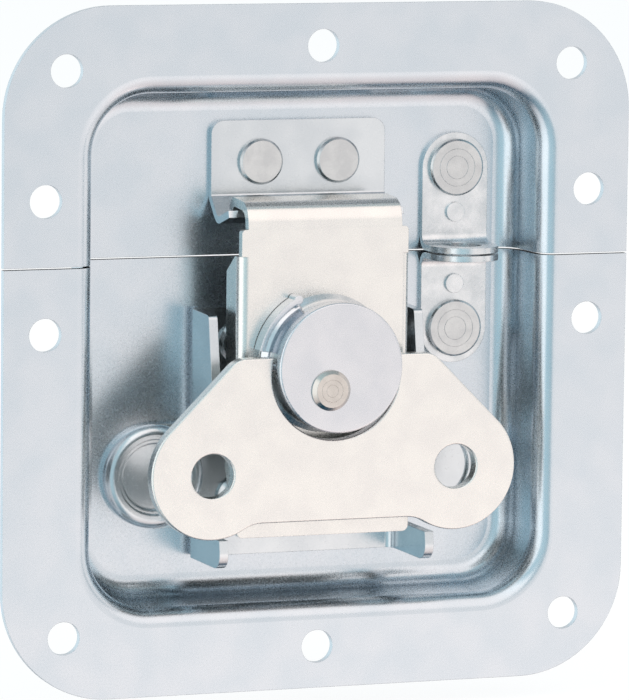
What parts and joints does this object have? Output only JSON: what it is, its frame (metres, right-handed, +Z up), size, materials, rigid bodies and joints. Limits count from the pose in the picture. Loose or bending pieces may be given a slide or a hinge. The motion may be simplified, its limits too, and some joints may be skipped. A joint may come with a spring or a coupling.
{
  "type": "recessed butterfly latch",
  "caption": "Recessed twist latch in a split dish: a folding wing turns a crank that draws a hooked claw onto a keeper, beside a padlock hasp.",
  "frame": {"origin": "centre of the flange's corner holes, on the flange's rear face", "axes": "+Z up towards the lid half, +Y into the case wall, -Y towards the person who turns the wing, X across"},
  "size_m": [0.108, 0.0253, 0.112],
  "materials": {
    "plated_dish_sheet": "bright zinc plate, passivated, slightly blue",
    "plated_strap": "zinc plate",
    "galvanised_strap": "galvanised, grainy",
    "nickel_plate": "nickel plate, satin",
    "plated_drum": "bright plate",
    "plated_cap": "bright plate, satin face",
    "steel_rivet": "plated steel"
  },
  "bodies": {
    "case": {"upper_dish": "plated_dish_sheet", "lower_dish": "plated_dish_sheet", "keeper_plate": "plated_strap", "keeper_rivet_left": "steel_rivet", "keeper_rivet_right": "steel_rivet", "upper_hasp": "galvanised_strap", "upper_hasp_rivet": "steel_rivet", "lower_hasp": "galvanised_strap", "lower_hasp_rivet": "steel_rivet", "latch_base": "plated_strap", "base_rivet_lower_left": "steel_rivet", "base_rivet_lower_right": "steel_rivet", "base_rivet_upper_left": "steel_rivet", "base_rivet_upper_right": "steel_rivet", "spindle": "steel_rivet"},
    "cam": {"cam_drum": "plated_drum", "cap_disc": "plated_cap", "crank_rivet": "steel_rivet", "trunnion_left": "steel_rivet", "trunnion_right": "steel_rivet"},
    "wing": {"wing_plate": "nickel_plate"},
    "claw": {"claw": "nickel_plate"}
  },
  "joints": [
    {"name": "cam_turn", "type": "hinge", "parent": "case", "child": "cam", "pos_m": [0, 0, -0.00215], "axis": [0, -1, 0], "range_deg": [0, 180]},
    {"name": "wing_fold", "type": "hinge", "parent": "cam", "child": "wing", "pos_m": [0, -0.00765, -0.00215], "axis": [-1, 0, 0], "range_deg": [0, 90]},
    {"name": "claw_slide", "type": "slide", "parent": "case", "child": "claw", "axis": [0, 0, 1], "range_m": [0, 0.0071]}
  ],
  "couplings": [
    {"joint": "claw_slide", "follows": "cam_turn", "m_per_rad": 0.002259}
  ]
}
